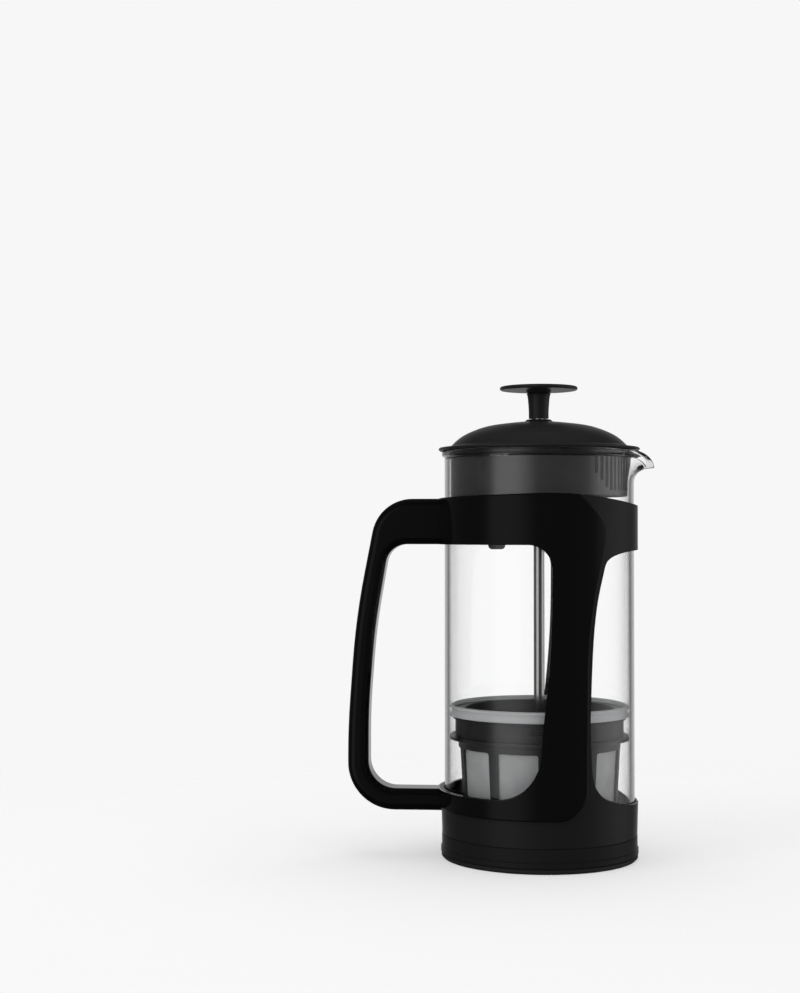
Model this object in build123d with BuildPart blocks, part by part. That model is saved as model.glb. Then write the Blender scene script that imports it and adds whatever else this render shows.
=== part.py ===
from build123d import *

import math
import os

# French press: a glass beaker in a one-piece plastic frame with a handle, a domed
# lid with a strainer skirt, and a plunger with two nested micro-filter baskets.
# Millimetres. +Z is up, the origin is on the beaker's axis where the foot stands,
# the handle points along -X and the spout along +X. The plunger is fully down.

os.makedirs("parts", exist_ok=True)

# Glass beaker
GLASS_R = 48.5
GLASS_WALL = 2.2
GLASS_BOTTOM_Z = 8.0
GLASS_FLOOR_T = 3.4
GLASS_CORNER_R = 6.0
RIM_Z = 207.5
RIM_BEAD_R = 50.0
RIM_BEAD_H = 3.2
GLASS_IN_R = GLASS_R - GLASS_WALL

# Spout: a trumpet mouth about its own upright axis, with a lip that curls down
SPOUT_AXIS_X = 41.0
SPOUT_MOUTH_R = 18.0
SPOUT_ROOT_Z = 189.5
SPOUT_LIP_Z = 199.0
SPOUT_START_X = 46.5

# Frame: a drafted shell round the beaker, with a thicker ribbon laid over it
SEAM_Z = 12.5
SHELL_IN_R = 49.0
SHELL_LOW_R = 49.8
SHELL_MID_R = 50.35
SHELL_BORE_Z = 16.5
SHELL_MID_Z = 33.0
SHELL_TOP_R = 50.5
RIBBON_R = 51.9
RIBBON_EDGE_R = 0.7
COLLAR_TOP_Z = 185.0
COLLAR_LOW_Z = 159.6
COLLAR_LUG_X = -23.5
HANDLE_WIDTH = 20.0
HANDLE_EDGE_R = 4.0
HANDLE_ROOT_X = -48.0
OPEN_X = 70.0

# Twist-off base under the frame
CAP_IN_R = 49.2
CAP_R = 49.9
CAP_STEP_R = 50.4
CAP_STEP_Z = 5.6
CAP_FLOOR_Z = 2.5
CAP_FLOOR_T = 1.7
LEDGE_Z = 4.4
LEDGE_T = 1.6
LEDGE_IN_R = 38.0
SEAT_IN_R = 40.3
SEAT_OUT_R = 45.6
HOOK_COUNT = 3
HOOK_DEG = 14.0
HOOK_START_DEG = 30.0
HOOK_TWIST_DEG = 25.0
FOOT_R = 50.1
FOOT_T = 2.5
FOOT_IN_R = 44.0
RIB_IN_R = 46.9
RIB_OUT_R = 48.6
RIB_H = 0.8

# Lid
DOME_TOP_Z = 223.7
PLUG_R = 45.8
PLUG_LOW_Z = 203.4
BRIM_R = 51.6
SKIRT_R = 45.3
SKIRT_WALL = 1.5
SKIRT_LOW_Z = 184.0
SKIRT_TOP_Z = 208.6
VENT_PITCH = 3.115
VENT_WIDTH = 1.95
# Vent lengths from the middle of the group to each end
VENT_LENGTHS = (18.6, 18.6, 18.6, 18.6, 18.6, 17.4, 13.7, 10.1)
VENT_TOP_Z = 205.0
VENT_TURN_DEG = -23.2

# Plunger
ROD_R = 2.75
ROD_THREAD_R = 2.3
ROD_LOW_Z = 29.0
ROD_TOP_Z = 234.0
ROD_LOW_SHOULDER_Z = 35.0
ROD_TOP_SHOULDER_Z = 225.1
INSERT_R = 3.7
INSERT_LOW_Z = 225.6
STEM_LOW_Z = 224.3
STEM_TOP_Z = 237.2
STEM_BORE_R = 3.3
BUSH_BORE_R = 2.83
BUSH_R = 4.5
BUSH_HEAD_Z = 213.4
LID_BORE_R = 4.58
KNOB_R = 20.0
KNOB_TOP_Z = 240.8
KNOB_T = 2.2

# Filter baskets, both with ten posts
POST_COUNT = 10
POST_WIDTH = 4.0
POST_TURN_DEG = -15.0
POST_WINDOW_CORNER_R = 1.2
SPOKE_COUNT = 5
SPOKE_WIDTH = 2.6
SPOKE_T = 1.6
HUB_R = 6.0
HUB_H = 9.0
HUB_BORE_R = 4.0
HUB_FLOOR_T = 0.6
MESH_T = 0.3
SEAL_R = 46.0
SEAL_LOW_Z = 72.1
SEAL_SEAT_Z = 75.0
SEAL_TOP_Z = 78.0
INNER_RIM_Z = 76.0
INNER_LOW_Z = 27.0
INNER_TOP_R = 39.8
INNER_LOW_R = 38.1
INNER_CONE_Z = 63.5
INNER_WALL = 1.4
INNER_RIM_R = 43.8
SEAL_SEAT_R = 42.2
OUTER_LOW_Z = 21.5
OUTER_BAND_Z = 58.9
OUTER_TOP_R = 41.5
OUTER_LOW_R = 39.6
OUTER_WALL = 1.2
OUTER_RING_R = 43.0
OUTER_RING_Z = 71.0
FLANGE_R = 45.8
FLANGE_Z = 60.6
FLANGE_T = 2.0
LUG_COUNT = 3
LUG_START_DEG = -90.0
LUG_Z = 66.5
LUG_T = 2.0
LUG_WIDTH = 5.0
SLOT_EASE = 0.4
TWIST_DEG = 15.0


def save(builder, label):
    """Label one finished piece and write its STEP file."""
    builder.part.label = label
    export_step(builder.part, f"parts/{label}.step")


def revolved(points):
    """A solid of revolution about Z from the corners (radius, height) of its half section."""
    with BuildPart() as turned:
        with BuildSketch(Plane.XZ):
            with BuildLine():
                Polyline(*points, close=True)
            make_face()
        revolve(axis=Axis.Z)
    return turned.part


def cone_radius(low, high, z):
    """The radius at height z of the cone through two (radius, height) points."""
    share = (z - low[1]) / (high[1] - low[1])
    return low[0] + share * (high[0] - low[0])


# ---------------------------------------------------------------- glass beaker
glass_floor_z = GLASS_BOTTOM_Z + GLASS_FLOOR_T
corner_z = GLASS_BOTTOM_Z + GLASS_CORNER_R
in_corner_r = GLASS_CORNER_R - GLASS_WALL
spout_in_r = SPOUT_MOUTH_R - GLASS_WALL

with BuildPart() as spout_outer:
    with BuildSketch(Plane.XZ):
        with BuildLine():
            foot = Line((SPOUT_AXIS_X, SPOUT_ROOT_Z - 4), (SPOUT_AXIS_X + 5.5, SPOUT_ROOT_Z - 4))
            bell = Spline(
                foot @ 1,
                (SPOUT_AXIS_X + 8.4, SPOUT_ROOT_Z + 4.4),
                (SPOUT_AXIS_X + 12.0, SPOUT_ROOT_Z + 7.1),
                (SPOUT_AXIS_X + SPOUT_MOUTH_R, SPOUT_LIP_Z - 0.6),
                tangents=((0.25, 1), (1, 0.15)),
            )
            Polyline(
                bell @ 1,
                (SPOUT_AXIS_X + SPOUT_MOUTH_R, RIM_Z),
                (SPOUT_AXIS_X, RIM_Z),
                foot @ 0,
            )
        make_face()
    revolve(axis=Axis((SPOUT_AXIS_X, 0, 0), (0, 0, 1)))

with BuildPart() as spout_inner:
    with BuildSketch(Plane.XZ):
        with BuildLine():
            foot = Line((SPOUT_AXIS_X, SPOUT_ROOT_Z - 2), (SPOUT_AXIS_X + 4.0, SPOUT_ROOT_Z - 2))
            bell = Spline(
                foot @ 1,
                (SPOUT_AXIS_X + 6.8, SPOUT_ROOT_Z + 6.4),
                (SPOUT_AXIS_X + 10.8, SPOUT_ROOT_Z + 9.2),
                (SPOUT_AXIS_X + spout_in_r, SPOUT_LIP_Z + 1.2),
                tangents=((0.25, 1), (1, 0.2)),
            )
            Polyline(
                bell @ 1,
                (SPOUT_AXIS_X + spout_in_r, RIM_Z + 4),
                (SPOUT_AXIS_X, RIM_Z + 4),
                foot @ 0,
            )
        make_face()
    revolve(axis=Axis((SPOUT_AXIS_X, 0, 0), (0, 0, 1)))

with BuildPart() as beaker:
    # Solid outside: floor, rounded corner, straight wall and fire-polished rim bead.
    with BuildSketch(Plane.XZ):
        with BuildLine():
            Polyline(
                (GLASS_R - GLASS_CORNER_R, GLASS_BOTTOM_Z),
                (0, GLASS_BOTTOM_Z),
                (0, RIM_Z),
                (GLASS_R, RIM_Z),
            )
            bead_low = RIM_Z - RIM_BEAD_H
            ThreePointArc((GLASS_R, RIM_Z), (RIM_BEAD_R, RIM_Z - RIM_BEAD_H / 2), (GLASS_R, bead_low))
            Line((GLASS_R, bead_low), (GLASS_R, corner_z))
            CenterArc((GLASS_R - GLASS_CORNER_R, corner_z), GLASS_CORNER_R, -90, 90)
        make_face()
    revolve(axis=Axis.Z)
    add(spout_outer.part)
    # Hollow inside.
    with BuildSketch(Plane.XZ):
        with BuildLine():
            Polyline(
                (GLASS_IN_R - in_corner_r, glass_floor_z),
                (0, glass_floor_z),
                (0, RIM_Z + 4),
                (GLASS_IN_R, RIM_Z + 4),
                (GLASS_IN_R, glass_floor_z + in_corner_r),
            )
            CenterArc((GLASS_IN_R - in_corner_r, glass_floor_z + in_corner_r), in_corner_r, -90, 90)
        make_face()
    revolve(axis=Axis.Z, mode=Mode.SUBTRACT)
    add(spout_inner.part, mode=Mode.SUBTRACT)
    # The lip curls down from the rim to the tip.
    tip_x = SPOUT_AXIS_X + SPOUT_MOUTH_R
    with BuildSketch(Plane.XZ):
        with BuildLine():
            curl = ThreePointArc(
                (SPOUT_START_X, RIM_Z),
                (tip_x - 3.6, RIM_Z - 3.1),
                (tip_x, SPOUT_LIP_Z),
            )
            Polyline(
                curl @ 1,
                (OPEN_X, SPOUT_LIP_Z),
                (OPEN_X, RIM_Z + 4),
                (SPOUT_START_X, RIM_Z + 4),
                curl @ 0,
            )
        make_face()
    extrude(amount=OPEN_X, both=True, mode=Mode.SUBTRACT)
save(beaker, "beaker")

# ----------------------------------------------------------------------- frame
# The side openings and the collar's top line are cut straight through, front to
# back, so each outline is drawn as it looks from the front.
with BuildPart() as handle_side_window:
    with BuildSketch(Plane.XZ):
        with BuildLine():
            top_corner = CenterArc((-5.4, COLLAR_LOW_Z - 12.0), 12.0, 0, 90)
            strut_side = Spline(
                top_corner @ 0,
                (6.0, 115),
                (3.9, 88),
                (1.2, 59.5),
                tangents=((0, -1), (-0.05, -1)),
            )
            low_corner = EllipticalCenterArc((-21, 59.5), 22.2, 24.2, start_angle=270, arc_size=90)
            Polyline(top_corner @ 1, (-OPEN_X, COLLAR_LOW_Z), (-OPEN_X, 35.1), low_corner @ 0)
        make_face()
    extrude(amount=OPEN_X, both=True)

with BuildPart() as spout_side_window:
    with BuildSketch(Plane.XZ):
        with BuildLine():
            side = Spline(
                (31.3, 144),
                (28.5, 130.5),
                (26.4, 110),
                (25.3, 84),
                (25.4, 57),
                tangents=((-0.25, -1), (0.06, -1)),
            )
            low = Spline(
                side @ 1,
                (27.4, 41.5),
                (32.0, 35.4),
                (39.5, 32.2),
                (50.4, 28.6),
                tangents=((0.06, -1), (1, -0.25)),
            )
            high = Spline(
                (50.4, 156.9),
                (39.4, 154.9),
                (34.0, 151.9),
                side @ 0,
                tangents=((-1, -0.15), (-0.25, -1)),
            )
            Polyline(low @ 1, (OPEN_X, 27.0), (OPEN_X, 158.0), high @ 0)
        make_face()
    extrude(amount=OPEN_X, both=True)

with BuildPart() as above_collar:
    with BuildSketch(Plane.XZ):
        with BuildLine():
            peak = (4.4, COLLAR_TOP_Z)
            right = ThreePointArc(peak, (30, COLLAR_TOP_Z - 1.8), (OPEN_X, COLLAR_TOP_Z - 11.6))
            left = ThreePointArc(peak, (-24, COLLAR_TOP_Z - 0.8), (-OPEN_X, COLLAR_TOP_Z - 2.4))
            Polyline(right @ 1, (OPEN_X, 200), (-OPEN_X, 200), left @ 1)
        make_face()
    extrude(amount=OPEN_X, both=True)

with BuildPart() as ribbon:
    # One loop: from the handle over the collar, down the strut, back along the base.
    with BuildSketch(Plane.XZ):
        with BuildLine():
            upper = Spline(
                (17.5, 186.4),
                (26.4, 177.8),
                (32.4, 169.0),
                (32.0, 157.0),
                (28.8, 141.2),
                (24.9, 114.4),
                (23.9, 85.2),
                (23.6, 60),
                (23.6, 44),
                tangents=((1, -0.75), (0, -1)),
            )
            lower = Spline(
                upper @ 1,
                (22.2, 34.6),
                (16.6, 28.2),
                (4.0, 25.8),
                tangents=((0, -1), (-1, 0)),
            )
            Polyline(lower @ 1, (-OPEN_X, 25.8), (-OPEN_X, 186.4), upper @ 0)
        make_face()
    extrude(amount=OPEN_X, both=True)
    with BuildSketch(Plane.XY):
        Circle(RIBBON_R)
        Circle(SHELL_IN_R, mode=Mode.SUBTRACT)
    extrude(amount=200, mode=Mode.INTERSECT)
    add(above_collar.part, mode=Mode.SUBTRACT)
    add(handle_side_window.part, mode=Mode.SUBTRACT)
    add(spout_side_window.part, mode=Mode.SUBTRACT)
    outer_faces = faces().filter_by(GeomType.CYLINDER).group_by(lambda f: f.area)[-1]
    fillet(outer_faces[0].outer_wire().edges(), radius=RIBBON_EDGE_R)

with BuildPart() as handle:
    with BuildSketch(Plane.XZ):
        with BuildLine():
            back = FilletPolyline(
                (HANDLE_ROOT_X, 183.0),
                (-82.2, 183.0),
                (-94.0, 122.0),
                (-98.0, 66.0),
                (-98.0, 23.6),
                (HANDLE_ROOT_X, 23.6),
                radius=[21, 380, 400, 24],
            )
            palm = FilletPolyline(
                (HANDLE_ROOT_X, 159.6),
                (-76.8, 159.6),
                (-84.1, 117.0),
                (-87.3, 75.0),
                (-87.3, 34.6),
                (HANDLE_ROOT_X, 34.6),
                radius=[11, 300, 350, 14],
            )
            Line(back @ 0, palm @ 0)
            Line(back @ 1, palm @ 1)
        make_face()
    extrude(amount=HANDLE_WIDTH / 2, both=True)
    side_edges = edges().filter_by(lambda e: abs(abs(e.center().Y) - HANDLE_WIDTH / 2) < 0.01)
    fillet(side_edges.filter_by(lambda e: e.center().X < HANDLE_ROOT_X - 1), radius=HANDLE_EDGE_R)

with BuildPart() as collar_lug:
    # Small rounded lug under the back of the collar, on the handle's side.
    lug_r = RIBBON_R - 0.8
    add(revolved([(SHELL_IN_R, 150), (lug_r, 150), (lug_r, 170), (SHELL_IN_R, 170)]))
    with BuildSketch(Plane.XZ):
        with Locations((COLLAR_LUG_X, COLLAR_LOW_Z - 0.8)):
            SlotOverall(9.5, 4.6)
    extrude(amount=-OPEN_X, mode=Mode.INTERSECT)

with BuildPart() as frame:
    # Shell with its floor ledge and the thin lip that the base turns on.
    add(
        revolved(
            [
                (SHELL_LOW_R, SEAM_Z),
                (SHELL_MID_R, SHELL_MID_Z),
                (SHELL_TOP_R, COLLAR_TOP_Z + 3),
                (SHELL_IN_R, COLLAR_TOP_Z + 3),
                (SHELL_IN_R, 16.0),
                (48.8, 14.0),
                (48.0, 9.0),
                (46.8, LEDGE_Z + LEDGE_T),
                (LEDGE_IN_R, LEDGE_Z + LEDGE_T),
                (LEDGE_IN_R, LEDGE_Z),
                (CAP_IN_R - 0.1, LEDGE_Z),
                (CAP_IN_R - 0.1, SEAM_Z),
            ]
        )
    )
    add(above_collar.part, mode=Mode.SUBTRACT)
    add(handle_side_window.part, mode=Mode.SUBTRACT)
    add(spout_side_window.part, mode=Mode.SUBTRACT)
    add(ribbon.part)
    add(handle.part)
    with BuildSketch(Plane.XY.offset(SHELL_BORE_Z)):
        Circle(SHELL_IN_R)
    extrude(amount=200, mode=Mode.SUBTRACT)
    # Notches in the ledge that let the base's hooks through once it is turned.
    with BuildSketch(Plane.XY.offset(LEDGE_Z)):
        with PolarLocations(LEDGE_IN_R, HOOK_COUNT, start_angle=HOOK_START_DEG + HOOK_TWIST_DEG):
            Rectangle(3.8, 12.5)
    extrude(amount=LEDGE_T, mode=Mode.SUBTRACT)
    add(collar_lug.part)
save(frame, "frame")

# ------------------------------------------------------------------------ base
cap_floor_top = CAP_FLOOR_Z + CAP_FLOOR_T
ledge_top = LEDGE_Z + LEDGE_T
hook_in_r = LEDGE_IN_R - 2.1
hook_post_r = LEDGE_IN_R - 0.3
hook_tip_r = LEDGE_IN_R + 1.6

with BuildPart() as hooks:
    # A turned ring with a lip over the ledge, kept only where the hooks are.
    add(
        revolved(
            [
                (hook_in_r, cap_floor_top),
                (hook_post_r, cap_floor_top),
                (hook_post_r, ledge_top + 0.3),
                (hook_tip_r, ledge_top + 0.3),
                (hook_tip_r, ledge_top + 0.9),
                (hook_tip_r - 0.7, ledge_top + 1.3),
                (hook_in_r, ledge_top + 1.3),
            ]
        )
    )
    with BuildSketch(Plane.XY.offset(cap_floor_top)):
        with PolarLocations(LEDGE_IN_R, HOOK_COUNT, start_angle=HOOK_START_DEG):
            Rectangle(8, 2 * LEDGE_IN_R * math.tan(math.radians(HOOK_DEG / 2)))
    extrude(amount=5, mode=Mode.INTERSECT)

with BuildPart() as base_cap:
    add(
        revolved(
            [
                (0, CAP_FLOOR_Z),
                (RIB_IN_R, CAP_FLOOR_Z),
                (RIB_IN_R, CAP_FLOOR_Z + RIB_H),
                (RIB_OUT_R, CAP_FLOOR_Z + RIB_H),
                (RIB_OUT_R, CAP_FLOOR_Z),
                (CAP_STEP_R - 0.5, CAP_FLOOR_Z),
                (CAP_STEP_R, CAP_FLOOR_Z + 0.5),
                (CAP_STEP_R, CAP_STEP_Z - 0.2),
                (CAP_R, CAP_STEP_Z + 0.1),
                (CAP_R, SEAM_Z - 0.5),
                (CAP_R - 0.3, SEAM_Z - 0.2),
                (CAP_IN_R, SEAM_Z - 0.2),
                (CAP_IN_R, cap_floor_top),
                (0, cap_floor_top),
            ]
        )
    )
    add(hooks.part)
save(base_cap, "base_cap")

with BuildPart() as foot_ring:
    add(
        revolved(
            [
                (FOOT_IN_R, 0.4),
                (FOOT_IN_R + 0.4, 0),
                (FOOT_R - 0.9, 0),
                (FOOT_R, 0.9),
                (FOOT_R, FOOT_T - 0.3),
                (FOOT_R - 0.3, FOOT_T),
                (RIB_OUT_R, FOOT_T),
                (RIB_OUT_R, FOOT_T + RIB_H),
                (RIB_IN_R, FOOT_T + RIB_H),
                (RIB_IN_R, FOOT_T),
                (FOOT_IN_R, FOOT_T),
            ]
        )
    )
save(foot_ring, "foot_ring")

with BuildPart() as beaker_seat:
    add(
        revolved(
            [
                (SEAT_IN_R, ledge_top),
                (SEAT_OUT_R, ledge_top),
                (SEAT_OUT_R, GLASS_BOTTOM_Z),
                (SEAT_IN_R, GLASS_BOTTOM_Z),
            ]
        )
    )
save(beaker_seat, "beaker_seat")

# ------------------------------------------------------------------------- lid
with BuildPart() as lid_dome:
    with BuildSketch(Plane.XZ):
        with BuildLine():
            crown = Spline(
                (7.6, DOME_TOP_Z - 1.2),
                (17.4, 221.6),
                (26.9, 220.1),
                (34.6, 217.5),
                (40.4, 214.4),
                (44.8, 210.4),
                tangents=((1, -0.02), (0.85, -1)),
            )
            Polyline(
                crown @ 1,
                (45.8, 209.8),
                (BRIM_R - 0.5, 209.1),
                (BRIM_R, 208.7),
                (BRIM_R, 208.2),
                (BRIM_R - 0.7, RIM_Z),
                (PLUG_R, RIM_Z),
                (PLUG_R, PLUG_LOW_Z + 0.3),
                (PLUG_R - 0.3, PLUG_LOW_Z),
                (SKIRT_R, PLUG_LOW_Z),
                (SKIRT_R, SKIRT_TOP_Z),
                (SKIRT_R - SKIRT_WALL, SKIRT_TOP_Z),
                (SKIRT_R - SKIRT_WALL, RIM_Z),
                (42.9, RIM_Z),
                (42.6, 209.0),
            )
            under = Spline(
                (42.6, 209.0),
                (38.6, 212.4),
                (33.4, 215.5),
                (26.3, 217.9),
                (17.2, 219.4),
                (7.4, 220.2),
                tangents=((-0.85, 1), (-1, 0.02)),
            )
            Polyline(
                under @ 1,
                (7.0, BUSH_HEAD_Z),
                (LID_BORE_R, BUSH_HEAD_Z),
                (LID_BORE_R, DOME_TOP_Z),
                (6.2, DOME_TOP_Z),
                crown @ 0,
            )
        make_face()
    revolve(axis=Axis.Z)
save(lid_dome, "lid_dome")

with BuildPart() as lid_skirt:
    skirt_in_r = SKIRT_R - SKIRT_WALL
    add(
        revolved(
            [
                (skirt_in_r, SKIRT_LOW_Z + 0.4),
                (skirt_in_r + 0.4, SKIRT_LOW_Z),
                (SKIRT_R - 0.4, SKIRT_LOW_Z),
                (SKIRT_R, SKIRT_LOW_Z + 0.4),
                (SKIRT_R, SKIRT_TOP_Z),
                (skirt_in_r, SKIRT_TOP_Z),
            ]
        )
    )
    # Pouring vents: parallel slots in a tapered group on one side.
    vent_plane = Plane(
        origin=(0, 0, 0),
        x_dir=(-math.sin(math.radians(VENT_TURN_DEG)), math.cos(math.radians(VENT_TURN_DEG)), 0),
        z_dir=(math.cos(math.radians(VENT_TURN_DEG)), math.sin(math.radians(VENT_TURN_DEG)), 0),
    )
    for slot in range(1 - len(VENT_LENGTHS), len(VENT_LENGTHS)):
        length = VENT_LENGTHS[abs(slot)]
        with BuildSketch(vent_plane):
            with Locations((slot * VENT_PITCH, VENT_TOP_Z - length / 2)):
                SlotOverall(length, VENT_WIDTH, rotation=90)
        extrude(amount=OPEN_X, mode=Mode.SUBTRACT)
save(lid_skirt, "lid_skirt")

with BuildPart() as rod_bush:
    add(
        revolved(
            [
                (BUSH_BORE_R, BUSH_HEAD_Z - 1.6),
                (6.3, BUSH_HEAD_Z - 1.6),
                (6.3, BUSH_HEAD_Z - 0.05),
                (BUSH_R, BUSH_HEAD_Z - 0.05),
                (BUSH_R, DOME_TOP_Z),
                (BUSH_BORE_R, DOME_TOP_Z),
            ]
        )
    )
save(rod_bush, "rod_bush")

# --------------------------------------------------------------- rod and knob
with BuildPart() as rod:
    add(
        revolved(
            [
                (0, ROD_LOW_Z),
                (ROD_THREAD_R - 0.4, ROD_LOW_Z),
                (ROD_THREAD_R, ROD_LOW_Z + 0.4),
                (ROD_THREAD_R, ROD_LOW_SHOULDER_Z),
                (ROD_R, ROD_LOW_SHOULDER_Z),
                (ROD_R, ROD_TOP_SHOULDER_Z),
                (ROD_THREAD_R, ROD_TOP_SHOULDER_Z),
                (ROD_THREAD_R, ROD_TOP_Z - 0.4),
                (ROD_THREAD_R - 0.4, ROD_TOP_Z),
                (0, ROD_TOP_Z),
            ]
        )
    )
save(rod, "rod")

with BuildPart() as knob_insert:
    add(
        revolved(
            [
                (ROD_THREAD_R, INSERT_LOW_Z),
                (INSERT_R, INSERT_LOW_Z),
                (INSERT_R, ROD_TOP_Z),
                (ROD_THREAD_R, ROD_TOP_Z),
            ]
        )
    )
save(knob_insert, "knob_insert")

with BuildPart() as knob_stem:
    with BuildSketch(Plane.XZ):
        with BuildLine():
            flare = Spline(
                (5.1, STEM_LOW_Z),
                (5.15, STEM_LOW_Z + 4.3),
                (5.5, STEM_LOW_Z + 9.3),
                (6.2, STEM_TOP_Z - 0.3),
                tangents=((0, 1), (0.6, 1)),
            )
            Polyline(
                flare @ 1,
                (6.0, STEM_TOP_Z),
                (STEM_BORE_R, STEM_TOP_Z),
                (STEM_BORE_R, ROD_TOP_Z),
                (INSERT_R, ROD_TOP_Z),
                (INSERT_R, INSERT_LOW_Z),
                (ROD_R, INSERT_LOW_Z),
                (ROD_R, STEM_LOW_Z),
                flare @ 0,
            )
        make_face()
    revolve(axis=Axis.Z)
save(knob_stem, "knob_stem")

with BuildPart() as knob_disc:
    disc_low = KNOB_TOP_Z - KNOB_T
    with BuildSketch(Plane.XZ):
        with BuildLine():
            Polyline(
                (0, ROD_TOP_Z + 0.2),
                (STEM_BORE_R, ROD_TOP_Z + 0.2),
                (STEM_BORE_R, STEM_TOP_Z),
                (5.6, STEM_TOP_Z),
                (6.8, disc_low),
                (KNOB_R - 0.9, disc_low + 0.2),
            )
            ThreePointArc(
                (KNOB_R - 0.9, disc_low + 0.2),
                (KNOB_R, disc_low + 1.1),
                (KNOB_R - 0.9, KNOB_TOP_Z - 0.1),
            )
            Polyline(
                (KNOB_R - 0.9, KNOB_TOP_Z - 0.1),
                (KNOB_R - 2.0, KNOB_TOP_Z),
                (0, KNOB_TOP_Z),
                (0, ROD_TOP_Z + 0.2),
            )
        make_face()
    revolve(axis=Axis.Z)
save(knob_disc, "knob_disc")


# ------------------------------------------------------------- filter baskets
def basket(shell_points, low_r, window_high, window_low):
    """A basket: a turned shell with ten windows, a hub and five spokes across the floor."""
    floor_z = shell_points[0][1]
    in_r = shell_points[-1][0]
    with BuildPart() as shell:
        add(revolved(shell_points))
        # Windows between the posts, cut from the axis outwards.
        side_pitch = 360 / POST_COUNT
        chord = 2 * low_r * math.sin(math.radians(side_pitch / 2)) - POST_WIDTH
        for index in range(POST_COUNT):
            window_plane = Plane.YZ.rotated((0, 0, POST_TURN_DEG + (index + 0.5) * side_pitch))
            with BuildSketch(window_plane):
                with Locations((0, (window_high + window_low) / 2)):
                    RectangleRounded(chord, window_high - window_low, POST_WINDOW_CORNER_R)
            extrude(amount=OPEN_X, mode=Mode.SUBTRACT)
        # Floor spokes and hub.
        with BuildSketch(Plane.XY.offset(floor_z)):
            Circle(HUB_R)
            with PolarLocations((in_r + HUB_R) / 2, SPOKE_COUNT, start_angle=POST_TURN_DEG):
                Rectangle(in_r - HUB_R + 2.0, SPOKE_WIDTH)
        extrude(amount=SPOKE_T)
    return shell.part


inner_low = (INNER_LOW_R, INNER_LOW_Z)
inner_top = (INNER_TOP_R, INNER_CONE_Z)
with BuildPart() as inner_basket:
    add(
        basket(
            [
                inner_low,
                inner_top,
                (40.9, INNER_CONE_Z + 0.5),
                (40.9, OUTER_RING_Z + 0.2),
                (INNER_RIM_R + 0.5, OUTER_RING_Z + 0.2),
                (INNER_RIM_R + 0.5, SEAL_LOW_Z),
                (SEAL_SEAT_R, SEAL_LOW_Z),
                (SEAL_SEAT_R, SEAL_SEAT_Z),
                (INNER_RIM_R, SEAL_SEAT_Z),
                (INNER_RIM_R, INNER_RIM_Z - 0.4),
                (INNER_RIM_R - 0.4, INNER_RIM_Z),
                (38.6, INNER_RIM_Z),
                (38.2, INNER_RIM_Z - 0.4),
                (INNER_TOP_R - INNER_WALL, INNER_CONE_Z),
                (INNER_LOW_R - INNER_WALL, INNER_LOW_Z),
            ],
            INNER_LOW_R,
            window_high=57.5,
            window_low=31.0,
        )
    )
    # Hub that takes the rod.
    with BuildSketch(Plane.XY.offset(INNER_LOW_Z)):
        Circle(HUB_R)
    extrude(amount=HUB_H)
    with BuildSketch(Plane.XY.offset(INNER_LOW_Z + HUB_FLOOR_T)):
        Circle(HUB_BORE_R)
    extrude(amount=HUB_H + 1, mode=Mode.SUBTRACT)
    # Bayonet lugs.
    with BuildSketch(Plane.XY.offset(LUG_Z)):
        with PolarLocations(41.2, LUG_COUNT, start_angle=LUG_START_DEG):
            Rectangle(1.9, LUG_WIDTH)
    extrude(amount=LUG_T)
save(inner_basket, "inner_basket")

with BuildPart() as hub_insert:
    add(
        revolved(
            [
                (0, INNER_LOW_Z + HUB_FLOOR_T),
                (HUB_BORE_R, INNER_LOW_Z + HUB_FLOOR_T),
                (HUB_BORE_R, ROD_LOW_SHOULDER_Z),
                (ROD_THREAD_R, ROD_LOW_SHOULDER_Z),
                (ROD_THREAD_R, ROD_LOW_Z),
                (0, ROD_LOW_Z),
            ]
        )
    )
save(hub_insert, "hub_insert")

with BuildPart() as filter_seal:
    # A body in the basket's groove, a lower lip, and an upper lip that stands above the rim.
    lip_in_r = INNER_RIM_R + 0.3
    with BuildSketch(Plane.XZ):
        with BuildLine():
            Polyline(
                (SEAL_SEAT_R, SEAL_LOW_Z),
                (SEAL_R - 0.8, SEAL_LOW_Z),
                (SEAL_R, SEAL_LOW_Z + 0.7),
                (SEAL_R, SEAL_SEAT_Z - 0.4),
            )
            ThreePointArc(
                (SEAL_R, SEAL_SEAT_Z - 0.4),
                (SEAL_R - 0.8, SEAL_SEAT_Z + 0.3),
                (SEAL_R, SEAL_SEAT_Z + 1.0),
            )
            Polyline(
                (SEAL_R, SEAL_SEAT_Z + 1.0),
                (SEAL_R, SEAL_TOP_Z - 0.5),
                (SEAL_R - 0.4, SEAL_TOP_Z),
                (SEAL_R - 0.8, SEAL_TOP_Z),
                (lip_in_r, SEAL_SEAT_Z + 0.6),
                (lip_in_r, SEAL_SEAT_Z),
                (SEAL_SEAT_R, SEAL_SEAT_Z),
                (SEAL_SEAT_R, SEAL_LOW_Z),
            )
        make_face()
    revolve(axis=Axis.Z)
save(filter_seal, "filter_seal")

with BuildPart() as lug_slots:
    slot_low_z = LUG_Z - SLOT_EASE
    slot_high_z = LUG_Z + LUG_T + SLOT_EASE
    add(revolved([(40.0, slot_low_z), (44.0, slot_low_z), (44.0, slot_high_z), (40.0, slot_high_z)]))
    with BuildSketch(Plane.XY.offset(slot_low_z)):
        for lug in range(LUG_COUNT):
            start = math.radians(LUG_START_DEG + lug * 360 / LUG_COUNT - 5.0)
            end = start + math.radians(TWIST_DEG + 10.0)
            with BuildLine():
                Polyline(
                    (0, 0),
                    (60 * math.cos(start), 60 * math.sin(start)),
                    (60 * math.cos(end), 60 * math.sin(end)),
                    close=True,
                )
            make_face()
    extrude(amount=5, mode=Mode.INTERSECT)

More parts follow.
